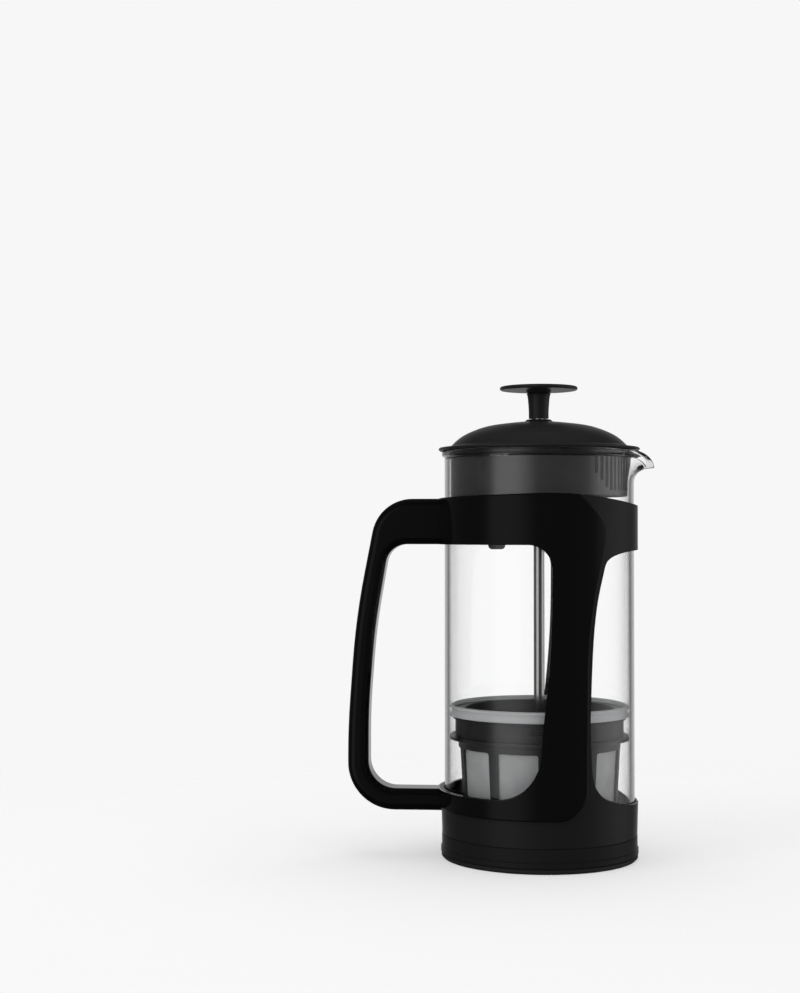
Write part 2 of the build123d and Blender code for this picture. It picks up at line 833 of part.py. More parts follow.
outer_low = (OUTER_LOW_R, OUTER_LOW_Z)
outer_top = (OUTER_TOP_R, OUTER_BAND_Z)
with BuildPart() as outer_basket:
    add(
        basket(
            [
                outer_low,
                outer_top,
                (42.0, FLANGE_Z),
                (FLANGE_R, FLANGE_Z + 0.2),
                (FLANGE_R, FLANGE_Z + FLANGE_T - 0.2),
                (OUTER_RING_R, FLANGE_Z + FLANGE_T),
                (OUTER_RING_R, OUTER_RING_Z - 0.3),
                (OUTER_RING_R - 0.3, OUTER_RING_Z),
                (41.5, OUTER_RING_Z),
                (41.2, OUTER_RING_Z - 0.3),
                (41.2, 63.2),
                (OUTER_TOP_R - OUTER_WALL, OUTER_BAND_Z),
                (OUTER_LOW_R - OUTER_WALL, OUTER_LOW_Z),
            ],
            OUTER_LOW_R,
            window_high=56.5,
            window_low=25.8,
        )
    )
    # Hooked slots for the lugs: straight in from above, then round by the twist.
    add(lug_slots.part, mode=Mode.SUBTRACT)
    with BuildSketch(Plane.XY.offset(LUG_Z)):
        with PolarLocations(42.0, LUG_COUNT, start_angle=LUG_START_DEG + TWIST_DEG):
            Rectangle(6.0, LUG_WIDTH + 1.4)
    extrude(amount=10, mode=Mode.SUBTRACT)
save(outer_basket, "outer_basket")


def side_mesh(low, high, wall, z_low, z_high):
    """A thin cone of mesh that lines the inside of a basket's windows."""
    outer_low_r = cone_radius(low, high, z_low) - wall
    outer_high_r = cone_radius(low, high, z_high) - wall
    return revolved(
        [
            (outer_low_r, z_low),
            (outer_high_r, z_high),
            (outer_high_r - MESH_T, z_high),
            (outer_low_r - MESH_T, z_low),
        ]
    )


def floor_mesh(z, outer_r, inner_r):
    """A flat ring of mesh that lies on a basket's floor spokes."""
    return revolved([(inner_r, z), (outer_r, z), (outer_r, z + MESH_T), (inner_r, z + MESH_T)])


with BuildPart() as inner_side_mesh:
    add(side_mesh(inner_low, inner_top, INNER_WALL, 29.2, 59.5))
save(inner_side_mesh, "inner_side_mesh")

with BuildPart() as inner_floor_mesh:
    add(floor_mesh(INNER_LOW_Z + SPOKE_T, 36.4, HUB_R))
save(inner_floor_mesh, "inner_floor_mesh")

with BuildPart() as outer_side_mesh:
    add(side_mesh(outer_low, outer_top, OUTER_WALL, 23.6, 58.5))
save(outer_side_mesh, "outer_side_mesh")

with BuildPart() as outer_floor_mesh:
    add(floor_mesh(OUTER_LOW_Z + SPOKE_T, 38.2, 0.0))
save(outer_floor_mesh, "outer_floor_mesh")
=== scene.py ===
import math

import bpy
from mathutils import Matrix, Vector


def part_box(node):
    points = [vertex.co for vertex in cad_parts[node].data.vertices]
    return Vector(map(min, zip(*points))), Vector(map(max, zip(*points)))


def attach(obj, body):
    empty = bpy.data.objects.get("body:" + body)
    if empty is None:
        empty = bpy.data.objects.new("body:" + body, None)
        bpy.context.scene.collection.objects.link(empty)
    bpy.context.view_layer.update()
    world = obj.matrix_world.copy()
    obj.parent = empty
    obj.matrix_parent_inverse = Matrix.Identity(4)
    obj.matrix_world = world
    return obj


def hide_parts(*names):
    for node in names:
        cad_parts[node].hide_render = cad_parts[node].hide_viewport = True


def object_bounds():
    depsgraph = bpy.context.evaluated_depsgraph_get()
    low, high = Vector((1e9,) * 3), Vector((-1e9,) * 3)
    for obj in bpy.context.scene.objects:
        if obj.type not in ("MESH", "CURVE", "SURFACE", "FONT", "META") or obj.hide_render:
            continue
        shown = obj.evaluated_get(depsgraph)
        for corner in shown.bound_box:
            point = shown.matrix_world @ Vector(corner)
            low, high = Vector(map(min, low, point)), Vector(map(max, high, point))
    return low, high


bl_info = {
    "name": "French press",
    "version": (1, 0, 0),
    "blender": (4, 5, 0),
    "location": "View3D > Sidebar > French press",
    "description": "Dresses a packed french press with its finishes, its glass and its stage",
    "category": "Object",
}

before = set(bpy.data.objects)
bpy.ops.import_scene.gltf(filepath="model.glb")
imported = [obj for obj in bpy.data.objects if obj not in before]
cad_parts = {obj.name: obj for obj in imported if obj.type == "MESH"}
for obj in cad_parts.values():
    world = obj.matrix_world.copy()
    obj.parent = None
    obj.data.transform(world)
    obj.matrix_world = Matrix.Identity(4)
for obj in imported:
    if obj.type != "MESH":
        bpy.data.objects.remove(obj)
CAD_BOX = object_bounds()
MM = 0.001
STAND_LOW = CAD_BOX[0].z
TURN_STEPS = 240
# The weave is measured round the baskets at this radius, midway between their meshes.
WEAVE_RADIUS = 39.0 * MM
# Faces further than this from the axis belong to the raised ribbon or the handle.
SHELL_EDGE = (50.9 * MM, 51.3 * MM)
# The floor card fades out between these distances from the axis.
FLOOR_FADE = (0.16, 0.55)
FLOOR_HALF = 3.0
# The card reflects this much less than the backdrop sends, so that lit they look alike.
CARD_SHARE = 0.77

# Brightness of the room in reflections: (degrees round from the front, level)
LIGHT_BANKS = (
    (-180, 0.93),
    (-162, 0.88),
    (-150, 0.12),
    (-80, 0.10),
    (-62, 0.12),
    (-52, 0.95),
    (-26, 0.85),
    (-12, 0.40),
    (0, 0.12),
    (62, 0.10),
    (78, 0.85),
    (112, 0.85),
    (128, 0.08),
    (150, 0.12),
    (162, 0.88),
    (180, 0.93),
)


# ------------------------------------------------------------------ small tools
def srgb(code):
    """Linear RGBA from an sRGB hex code such as "1A1A1A"."""
    shares = [int(code[i : i + 2], 16) / 255 for i in (0, 2, 4)]
    linear = [s / 12.92 if s <= 0.04045 else ((s + 0.055) / 1.055) ** 2.4 for s in shares]
    return (*linear, 1.0)


def colour_of(setting):
    """RGBA from a colour property, which Blender keeps in linear light."""
    return (setting[0], setting[1], setting[2], 1.0)


def add_node(tree, kind, settings=None, inputs=None):
    """Add a node, with its settings, and with each input set or linked."""
    made = tree.nodes.new(kind)
    for name, value in (settings or {}).items():
        setattr(made, name, value)
    for name, value in (inputs or {}).items():
        if isinstance(value, bpy.types.NodeSocket):
            tree.links.new(value, made.inputs[name])
        else:
            made.inputs[name].default_value = value
    return made


def new_material(name):
    """An empty node material with an output, as (material, tree, output)."""
    material = bpy.data.materials.new(name)
    material.use_nodes = True
    tree = material.node_tree
    tree.nodes.clear()
    return material, tree, add_node(tree, "ShaderNodeOutputMaterial")


def object_place(tree):
    """The point on the surface in the object's own space, in metres."""
    return add_node(tree, "ShaderNodeTexCoord").outputs["Object"]


def spread(tree, factor, low, high):
    """Turn a 0 to 1 pattern into values from low to high."""
    made = add_node(
        tree,
        "ShaderNodeMapRange",
        inputs={"Value": factor, "To Min": low, "To Max": high},
    )
    return made.outputs["Result"]


def dress(node, material):
    """Give a CAD node one material in place of its plain one."""
    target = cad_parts[node]
    target.data.materials.clear()
    target.data.materials.append(material)
    return target


def build_mesh(name, points, faces, material, body):
    """A new smooth-shaded mesh object in the part's frame that rides on a body."""
    mesh = bpy.data.meshes.new(name)
    mesh.from_pydata(points, [], faces)
    mesh.validate()
    mesh.shade_smooth()
    mesh.materials.append(material)
    made = bpy.data.objects.new(name, mesh)
    bpy.context.scene.collection.objects.link(made)
    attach(made, body)
    return made


def turned_mesh(name, section, steps, material, body, shift=None, closed=False):
    """Turn a half section of (radius, height) millimetres about Z into a mesh.

    A section that starts and ends on the axis is closed with a point at each end.
    shift moves each point, given its radius, height and angle.
    """
    points = []
    rings = []
    for radius, height in section:
        if radius == 0:
            rings.append([len(points)])
            points.append((0, 0, height * MM))
            continue
        ring = []
        for step in range(steps):
            angle = 2 * math.pi * step / steps
            r, z = shift(radius, height, angle) if shift else (radius, height)
            ring.append(len(points))
            points.append((r * math.cos(angle) * MM, r * math.sin(angle) * MM, z * MM))
        rings.append(ring)
    faces = []
    pairs = list(zip(rings, rings[1:] + ([rings[0]] if closed else [])))
    if not closed:
        pairs = pairs[: len(rings) - 1]
    for low, high in pairs:
        for step in range(steps):
            after = (step + 1) % steps
            corners = [
                low[step % len(low)],
                low[after % len(low)],
                high[after % len(high)],
                high[step % len(high)],
            ]
            unique = list(dict.fromkeys(corners))
            faces.append(unique)
    return build_mesh(name, points, faces, material, body)


def arc(centre_r, centre_z, radius, start, end, count):
    """Points on an arc in a half section, by degrees, both ends included."""
    made = []
    for index in range(count + 1):
        angle = math.radians(start + (end - start) * index / count)
        made.append((centre_r + radius * math.cos(angle), centre_z + radius * math.sin(angle)))
    return made


# -------------------------------------------------------------------- settings
class PressGlassSettings(bpy.types.PropertyGroup):
    """Sizes and tint of the beaker."""

    wall: bpy.props.FloatProperty(
        name="Wall", description="Thickness of the glass wall", default=2.2 * MM, unit="LENGTH"
    )
    spout_reach: bpy.props.FloatProperty(
        name="Spout reach", description="How far the lip stands out", default=10.0 * MM, unit="LENGTH"
    )
    spout_drop: bpy.props.FloatProperty(
        name="Spout drop",
        description="How far the lip falls below the rim",
        default=8.7 * MM,
        unit="LENGTH",
    )
    tint: bpy.props.FloatVectorProperty(
        name="Tint",
        description="Colour that thick glass takes on edge",
        default=srgb("B9BFC0")[:3],
        subtype="COLOR",
    )
    density: bpy.props.FloatProperty(
        name="Density", description="How fast the glass darkens with depth, per metre", default=8.0
    )


class PressPlasticSettings(bpy.types.PropertyGroup):
    """Colours of the moulded plastics."""

    frame_colour: bpy.props.FloatVectorProperty(
        name="Frame",
        description="Gloss black of ribbon and handle",
        default=srgb("070708")[:3],
        subtype="COLOR",
    )
    shell_colour: bpy.props.FloatVectorProperty(
        name="Shell",
        description="Satin black of the shell and base",
        default=srgb("161617")[:3],
        subtype="COLOR",
    )
    lid_colour: bpy.props.FloatVectorProperty(
        name="Lid",
        description="Satin charcoal of the lid and knob",
        default=srgb("191919")[:3],
        subtype="COLOR",
    )
    skirt_colour: bpy.props.FloatVectorProperty(
        name="Skirt",
        description="Dark grey of the strainer skirt",
        default=srgb("2F2F30")[:3],
        subtype="COLOR",
    )
    basket_colour: bpy.props.FloatVectorProperty(
        name="Basket",
        description="Black of the filter baskets",
        default=srgb("101011")[:3],
        subtype="COLOR",
    )
    foot_colour: bpy.props.FloatVectorProperty(
        name="Foot",
        description="Black of the rubbery foot ring",
        default=srgb("151515")[:3],
        subtype="COLOR",
    )
    silicone_colour: bpy.props.FloatVectorProperty(
        name="Silicone",
        description="Milky white of the seal",
        default=srgb("C9CBCC")[:3],
        subtype="COLOR",
    )


class PressMeshSettings(bpy.types.PropertyGroup):
    """Weave of the micro filter."""

    wire_pitch: bpy.props.FloatProperty(
        name="Wire pitch", description="Spacing of the drawn wires", default=0.55 * MM, unit="LENGTH"
    )
    cover: bpy.props.FloatProperty(
        name="Cover",
        description="Share of the light that the weave stops",
        default=0.62,
        subtype="FACTOR",
    )
    colour: bpy.props.FloatVectorProperty(
        name="Mesh",
        description="Grey of the woven wire",
        default=srgb("CFD0D1")[:3],
        subtype="COLOR",
    )


class PressStageSettings(bpy.types.PropertyGroup):
    """Camera, floor and light."""

    distance: bpy.props.FloatProperty(
        name="Distance", description="Camera to the press's axis", default=0.878, unit="LENGTH"
    )
    height: bpy.props.FloatProperty(
        name="Height", description="Camera over the floor", default=0.1666, unit="LENGTH"
    )
    lens: bpy.props.FloatProperty(name="Lens", description="Focal length in millimetres", default=61.63)
    pan: bpy.props.FloatProperty(
        name="Pan", description="Camera turned to the left", default=math.radians(4.67), subtype="ANGLE"
    )
    tilt: bpy.props.FloatProperty(
        name="Tilt", description="Camera turned upwards", default=math.radians(1.15), subtype="ANGLE"
    )
    backdrop: bpy.props.FloatVectorProperty(
        name="Backdrop",
        description="Pale grey of floor and background",
        default=srgb("F7F7F7")[:3],
        subtype="COLOR",
    )


# ------------------------------------------------------------------- materials
def two_finish_abs(gloss_colour, satin_colour):
    """ABS moulding with a mirror-black ribbon and handle over a satin, slightly lighter shell."""
    material, tree, output = new_material("gloss_and_satin_moulded_abs")
    place = object_place(tree)
    # The ribbon and the handle stand further from the axis than the shell.
    flat = add_node(tree, "ShaderNodeMapping", inputs={"Vector": place, "Scale": (1.0, 1.0, 0.0)})
    radius = add_node(
        tree,
        "ShaderNodeVectorMath",
        settings={"operation": "LENGTH"},
        inputs={0: flat.outputs["Vector"]},
    )
    raised = add_node(
        tree,
        "ShaderNodeMapRange",
        inputs={"Value": radius.outputs["Value"], "From Min": SHELL_EDGE[0], "From Max": SHELL_EDGE[1]},
    )
    # Sink and flow of the moulding: soft waves about 14 mm long.
    waves = add_node(tree, "ShaderNodeTexNoise", inputs={"Vector": place, "Scale": 70.0, "Detail": 2.0})
    # Fine handling haze, about 1.5 mm across.
    haze = add_node(tree, "ShaderNodeTexNoise", inputs={"Vector": place, "Scale": 650.0, "Detail": 3.0})
    bump = add_node(
        tree,
        "ShaderNodeBump",
        inputs={"Height": waves.outputs["Fac"], "Strength": 0.05, "Distance": 0.3 * MM},
    )
    colour = add_node(
        tree,
        "ShaderNodeMix",
        settings={"data_type": "RGBA"},
        inputs={0: raised.outputs["Result"], 6: satin_colour, 7: gloss_colour},
    )
    roughness = add_node(
        tree,
        "ShaderNodeMapRange",
        inputs={
            "Value": raised.outputs["Result"],
            "To Min": spread(tree, haze.outputs["Fac"], 0.30, 0.38),
            "To Max": spread(tree, haze.outputs["Fac"], 0.07, 0.14),
        },
    )
    shader = add_node(
        tree,
        "ShaderNodeBsdfPrincipled",
        inputs={
            "Base Color": colour.outputs[2],
            "Roughness": roughness.outputs["Result"],
            "IOR": 1.52,
            "Specular IOR Level": 0.15,
            "Normal": bump.outputs["Normal"],
        },
    )
    tree.links.new(shader.outputs["BSDF"], output.inputs["Surface"])
    return material


def satin_polypropylene(name, colour, roughness, shine):
    """Polypropylene from a spark-eroded mould: soft broad sheen over a very fine grain.

    shine is the strength of the sheen, from 0 to 1.
    """
    material, tree, output = new_material(name)
    place = object_place(tree)
    # Spark-eroded grain about 0.35 mm across, drawn a little coarser than real so that it shows.
    grain = add_node(
        tree, "ShaderNodeTexNoise", inputs={"Vector": place, "Scale": 2800.0, "Detail": 2.0}
    )
    cloud = add_node(tree, "ShaderNodeTexNoise", inputs={"Vector": place, "Scale": 90.0, "Detail": 3.0})
    bump = add_node(
        tree,
        "ShaderNodeBump",
        inputs={"Height": grain.outputs["Fac"], "Strength": 0.22, "Distance": 0.05 * MM},
    )
    shader = add_node(
        tree,
        "ShaderNodeBsdfPrincipled",
        inputs={
            "Base Color": colour,
            "Roughness": spread(tree, cloud.outputs["Fac"], roughness - 0.05, roughness + 0.06),
            "IOR": 1.49,
            "Specular IOR Level": shine,
            "Normal": bump.outputs["Normal"],
        },
    )
    tree.links.new(shader.outputs["BSDF"], output.inputs["Surface"])
    return material


def thermoplastic_rubber(colour):
    """Soft thermoplastic rubber of the foot: matt, slightly dusty black."""
    material, tree, output = new_material("moulded_thermoplastic_rubber")
    place = object_place(tree)
    dust = add_node(tree, "ShaderNodeTexNoise", inputs={"Vector": place, "Scale": 1400.0, "Detail": 4.0})
    bump = add_node(
        tree,
        "ShaderNodeBump",
        inputs={"Height": dust.outputs["Fac"], "Strength": 0.25, "Distance": 0.08 * MM},
    )
    shader = add_node(
        tree,
        "ShaderNodeBsdfPrincipled",
        inputs={
            "Base Color": colour,
            "Roughness": spread(tree, dust.outputs["Fac"], 0.55, 0.75),
            "IOR": 1.5,
            "Normal": bump.outputs["Normal"],
        },
    )
    tree.links.new(shader.outputs["BSDF"], output.inputs["Surface"])
    return material


def milky_silicone(colour):
    """Platinum-cured silicone: milky, light passes into it, surface between satin and gloss."""
    material, tree, output = new_material("milky_silicone_rubber")
    place = object_place(tree)
    skin = add_node(tree, "ShaderNodeTexNoise", inputs={"Vector": place, "Scale": 500.0, "Detail": 2.0})
    bump = add_node(
        tree,
        "ShaderNodeBump",
        inputs={"Height": skin.outputs["Fac"], "Strength": 0.1, "Distance": 0.1 * MM},
    )
    shader = add_node(
        tree,
        "ShaderNodeBsdfPrincipled",
        inputs={
            "Base Color": colour,
            "Roughness": spread(tree, skin.outputs["Fac"], 0.32, 0.46),
            "IOR": 1.41,
            "Subsurface Weight": 0.6,
            "Subsurface Radius": (1.0, 1.0, 1.0),
            "Subsurface Scale": 2.0 * MM,
            "Normal": bump.outputs["Normal"],
        },
    )
    tree.links.new(shader.outputs["BSDF"], output.inputs["Surface"])
    return material


def borosilicate_glass(settings):
    """Pressed and fire-polished borosilicate: colourless face on, tinted by its depth, with painted
    shade darkening its outlines where the wall turns edge on.
    """
    material, tree, output = new_material("fire_polished_borosilicate_glass")
    place = object_place(tree)
    # Slight unevenness of blown and polished glass, about 30 mm long.
    unevenness = add_node(
        tree, "ShaderNodeTexNoise", inputs={"Vector": place, "Scale": 32.0, "Detail": 1.0}
    )
    bump = add_node(
        tree,
        "ShaderNodeBump",
        inputs={"Height": unevenness.outputs["Fac"], "Strength": 0.03, "Distance": 0.3 * MM},
    )
    # Painted shade: clear face on, the colour turns to thin dark outlines where the wall turns edge on.
    facing = add_node(tree, "ShaderNodeLayerWeight", inputs={"Blend": 0.5})
    edge = add_node(tree, "ShaderNodeValToRGB", inputs={"Fac": facing.outputs["Facing"]})
    clear, painted_dark_outline = edge.color_ramp.elements
    clear.position = 0.74
    clear.color = (1.0, 1.0, 1.0, 1.0)
    # The outline's dark grey is painted shade, not a tint of the glass.
    painted_dark_outline.position = 0.97
    painted_dark_outline.color = srgb("34383A")
    shader = add_node(
        tree,
        "ShaderNodeBsdfPrincipled",
        inputs={
            "Base Color": edge.outputs["Color"],
            "Roughness": 0.0,
            "IOR": 1.47,
            "Transmission Weight": 1.0,
            "Normal": bump.outputs["Normal"],
        },
    )
    depth = add_node(
        tree,
        "ShaderNodeVolumeAbsorption",
        inputs={"Color": colour_of(settings.tint), "Density": settings.density},
    )
    tree.links.new(shader.outputs["BSDF"], output.inputs["Surface"])
    tree.links.new(depth.outputs["Volume"], output.inputs["Volume"])
    return material


def drawn_stainless_steel():
    """Drawn and polished 18/8 stainless rod: bright, with hair-fine lines along its length."""
    material, tree, output = new_material("drawn_stainless_steel")
    place = object_place(tree)
    # Lines run up the rod: the pattern is stretched 60 times along Z.
    stretched = add_node(
        tree,
        "ShaderNodeMapping",
        inputs={"Vector": place, "Scale": (6000.0, 6000.0, 100.0)},
    )
    lines = add_node(
        tree,
        "ShaderNodeTexNoise",
        inputs={"Vector": stretched.outputs["Vector"], "Scale": 1.0, "Detail": 2.0},
    )
    shader = add_node(
        tree,
        "ShaderNodeBsdfPrincipled",
        inputs={
            "Base Color": srgb("DCDCDB"),
            "Metallic": 1.0,
            "Roughness": spread(tree, lines.outputs["Fac"], 0.10, 0.20),
        },
    )
    tree.links.new(shader.outputs["BSDF"], output.inputs["Surface"])
    return material


def turned_brass():
    """Turned brass insert: warm yellow, with rings from the lathe."""
    material, tree, output = new_material("turned_brass")
    place = object_place(tree)
    rings = add_node(
        tree,
        "ShaderNodeTexWave",
        settings={"bands_direction": "Z"},
        inputs={"Vector": place, "Scale": 600.0, "Distortion": 0.4},
    )
    shader = add_node(
        tree,
        "ShaderNodeBsdfPrincipled",
        inputs={
            "Base Color": srgb("C8A860"),
            "Metallic": 1.0,
            "Roughness": spread(tree, rings.outputs["Fac"], 0.25, 0.42),
        },
    )
    tree.links.new(shader.outputs["BSDF"], output.inputs["Surface"])
    return material


def woven_micro_mesh(settings):
    """Woven stainless micro mesh: a pale grey veil that dims what is behind it.

    The real wires are about 0.1 mm apart, too fine to show, so they are drawn coarser.
    """
    material, tree, output = new_material("woven_stainless_micro_mesh")
    place = object_place(tree)
    per_metre = 1.0 / settings.wire_pitch
    parts = add_node(tree, "ShaderNodeSeparateXYZ", inputs={"Vector": place})
    # Upright wires follow the angle round the basket, level wires follow the height.
    around = add_node(
        tree,
        "ShaderNodeMath",
        settings={"operation": "ARCTAN2"},
        inputs={0: parts.outputs["Y"], 1: parts.outputs["X"]},
    )
    arc_length = add_node(
        tree,
        "ShaderNodeMath",
        settings={"operation": "MULTIPLY"},
        inputs={0: around.outputs["Value"], 1: WEAVE_RADIUS * per_metre * 2 * math.pi},
    )
    height = add_node(
        tree,
        "ShaderNodeMath",
        settings={"operation": "MULTIPLY"},
        inputs={0: parts.outputs["Z"], 1: per_metre * 2 * math.pi},
    )
    upright = add_node(
        tree, "ShaderNodeMath", settings={"operation": "SINE"}, inputs={0: arc_length.outputs["Value"]}
    )
    level = add_node(
        tree, "ShaderNodeMath", settings={"operation": "SINE"}, inputs={0: height.outputs["Value"]}
    )
    weave = add_node(
        tree,
        "ShaderNodeMath",
        settings={"operation": "MAXIMUM"},
        inputs={0: upright.outputs["Value"], 1: level.outputs["Value"]},
    )
    # Slack in the cloth shows as soft light and dark patches about 15 mm across.
    slack = add_node(tree, "ShaderNodeTexNoise", inputs={"Vector": place, "Scale": 60.0, "Detail": 2.0})
    bump = add_node(
        tree,
        "ShaderNodeBump",
        inputs={"Height": slack.outputs["Fac"], "Strength": 0.5, "Distance": 2.0 * MM},
    )
    cover = add_node(
        tree,
        "ShaderNodeMapRange",
        inputs={
            "Value": weave.outputs["Value"],
            "To Min": spread(tree, slack.outputs["Fac"], settings.cover - 0.34, settings.cover + 0.18),
            "To Max": spread(tree, slack.outputs["Fac"], settings.cover - 0.12, settings.cover + 0.36),
        },
    )
    fine_bump = add_node(
        tree,
        "ShaderNodeBump",
        inputs={
            "Height": weave.outputs["Value"],
            "Strength": 0.4,
            "Distance": 0.05 * MM,
            "Normal": bump.outputs["Normal"],
        },
    )
    shader = add_node(
        tree,
        "ShaderNodeBsdfPrincipled",
        inputs={
            "Base Color": colour_of(settings.colour),
            "Metallic": 0.1,
            "Roughness": 0.5,
            "Alpha": cover.outputs["Result"],
            "Normal": fine_bump.outputs["Normal"],
        },
    )
    tree.links.new(shader.outputs["BSDF"], output.inputs["Surface"])
    return material


def pale_floor(colour):
    """Matt studio card that fades into the background away from the press."""
    material, tree, output = new_material("matt_studio_card")
    place = object_place(tree)
    distance = add_node(
        tree, "ShaderNodeVectorMath", settings={"operation": "LENGTH"}, inputs={0: place}
    )
    fade = add_node(
        tree,
        "ShaderNodeMapRange",
        settings={"interpolation_type": "SMOOTHSTEP"},
        inputs={
            "Value": distance.outputs["Value"],
            "From Min": FLOOR_FADE[0],
            "From Max": FLOOR_FADE[1],
            "To Min": 0.45,
        },
    )
    card_colour = (*(CARD_SHARE * share for share in colour[:3]), 1.0)
    card = add_node(tree, "ShaderNodeBsdfDiffuse", inputs={"Color": card_colour})
    clear = add_node(tree, "ShaderNodeBsdfTransparent")
    mixed = add_node(
        tree,
        "ShaderNodeMixShader",
        inputs={0: fade.outputs["Result"], 1: card.outputs["BSDF"], 2: clear.outputs["BSDF"]},
    )
    tree.links.new(mixed.outputs["Shader"], output.inputs["Surface"])
    return material


# ------------------------------------------------------------------- operators
class PRESS_OT_glass(bpy.types.Operator):
    """Build the beaker with its rolled rim and pulled spout, in place of the plain solid"""

    bl_idname = "press.glass"
    bl_label = "Beaker glass"

    def execute(self, context):
        settings = context.scene.press_glass
        low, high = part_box("beaker")
        bottom = low.z / MM
        rim = high.z / MM
        outer = -low.y / MM - 1.5
        wall = settings.wall / MM
        inner = outer - wall
        corner = 6.0
        inside_corner = corner - wall
        floor = bottom + 3.4
        spout_root = rim - 18.0
        spout_half_angle = math.radians(25.0)
        reach = settings.spout_reach / MM
        drop = settings.spout_drop / MM

        def pull_spout(radius, height, angle):
            """Pull the rim out and down into a lip round +X."""
            turn = math.atan2(math.sin(angle), math.cos(angle))
            if height <= spout_root or abs(turn) >= spout_half_angle:
                return radius, height
            rise = (height - spout_root) / (rim - spout_root)
            out = math.cos(math.pi / 2 * turn / spout_half_angle) ** 1.6
            curl = (1 - math.sqrt(1 - (0.985 * out) ** 2)) / (1 - math.sqrt(1 - 0.985**2))
            return radius + reach * out * rise**2.3, height - drop * curl * rise**1.8

        section = [(0, bottom)]
        section += [(r, bottom) for r in (14, 28, outer - corner - 1.0)]
        section += arc(outer - corner, bottom + corner, corner, -90, 0, 10)
        section += [(outer, z) for z in (30, 60, 90, 120, 150, 175, spout_root - 2)]
        rise_steps = 14
        bead_low = rim - 3.2
        step = (bead_low - spout_root) / rise_steps
        rises = [spout_root + step * index for index in range(rise_steps + 1)]
        section += [(outer, z) for z in rises]
        # Fire-polished bead, round on the outside and rolled over to the inner wall.
        section += arc(outer - 0.1, rim - 1.6, 1.6, -70, 90, 10)
        section += arc(inner + 0.9, rim - 0.9, 0.9, 90, 180, 5)
        section += [(inner, z) for z in reversed(rises)]
        section += [(inner, z) for z in (175, 150, 120, 90, 60, 30)]
        section += arc(inner - inside_corner, floor + inside_corner, inside_corner, 0, -90, 8)
        section += [(28, floor), (14, floor), (0, floor)]

        glass = turned_mesh(
            "beaker_glass", section, TURN_STEPS, borosilicate_glass(settings), "glass", shift=pull_spout
        )
        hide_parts("beaker")
        return {"FINISHED"}


class PRESS_OT_mouldings(bpy.types.Operator):
    """Finish the frame, the base, the foot ring and the lid in their plastics"""

    bl_idname = "press.mouldings"
    bl_label = "Mouldings"

    def execute(self, context):
        settings = context.scene.press_plastic
        shell_colour = colour_of(settings.shell_colour)
        frame_plastic = two_finish_abs(colour_of(settings.frame_colour), shell_colour)
        base = satin_polypropylene("satin_polypropylene_base", shell_colour, 0.36, 0.1)
        lid = satin_polypropylene("satin_polypropylene_lid", colour_of(settings.lid_colour), 0.42, 0.4)
        skirt_colour = colour_of(settings.skirt_colour)
        skirt = satin_polypropylene("satin_polypropylene_skirt", skirt_colour, 0.20, 0.9)
        dress("frame", frame_plastic)
        dress("base_cap", base)
        for node in ("lid_dome", "knob_disc", "knob_stem", "rod_bush"):
            dress(node, lid)
        dress("lid_skirt", skirt)
        dress("foot_ring", thermoplastic_rubber(colour_of(settings.foot_colour)))
        return {"FINISHED"}


class PRESS_OT_metal(bpy.types.Operator):
    """Finish the rod and the threaded inserts"""

    bl_idname = "press.metal"
    bl_label = "Metal parts"

    def execute(self, context):
        dress("rod", drawn_stainless_steel())
        brass = turned_brass()
        for node in ("knob_insert", "hub_insert"):
            dress(node, brass)
        return {"FINISHED"}


class PRESS_OT_filters(bpy.types.Operator):
    """Finish both filter baskets and their woven mesh"""

    bl_idname = "press.filters"
    bl_label = "Filters"

    def execute(self, context):
        plastic = context.scene.press_plastic
        basket_colour = colour_of(plastic.basket_colour)
        basket = satin_polypropylene("satin_polypropylene_basket", basket_colour, 0.34, 0.6)
        weave = woven_micro_mesh(context.scene.press_mesh)
        for node in ("inner_basket", "outer_basket"):
            dress(node, basket)
        for node in ("inner_side_mesh", "inner_floor_mesh", "outer_side_mesh", "outer_floor_mesh"):
            dress(node, weave)
        return {"FINISHED"}


class PRESS_OT_seal(bpy.types.Operator):
    """Build the double-lip silicone seal and finish the ring under the glass"""

    bl_idname = "press.seal"
    bl_label = "Silicone"

    def execute(self, context):
        silicone = milky_silicone(colour_of(context.scene.press_plastic.silicone_colour))
        low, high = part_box("filter_seal")
        bottom = low.z / MM
        top = high.z / MM
        reach = high.x / MM
        # Just clear of the basket's groove and, above it, of the basket's rim.
        root = 42.25
        rim = 44.15
        lip = 0.5
        section = [(root, bottom + 0.2), (root + 0.2, bottom)]
        section += arc(reach - lip, bottom + lip + 0.3, lip, -75, 60, 6)
        section += [(45.0, bottom + 2.4), (44.75, bottom + 3.2), (44.8, bottom + 3.7)]
        section += arc(reach - lip, top - lip - 0.35, lip, -60, 75, 6)
        section += [(rim + 0.5, top), (rim, top - 0.3), (rim, top - 1.7), (rim - 0.2, bottom + 2.9)]
        section += [(root, bottom + 2.9)]
        seal = turned_mesh("double_lip_seal", section, TURN_STEPS, silicone, "plunger", closed=True)
        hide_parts("filter_seal")
        dress("beaker_seat", silicone)
        return {"FINISHED"}


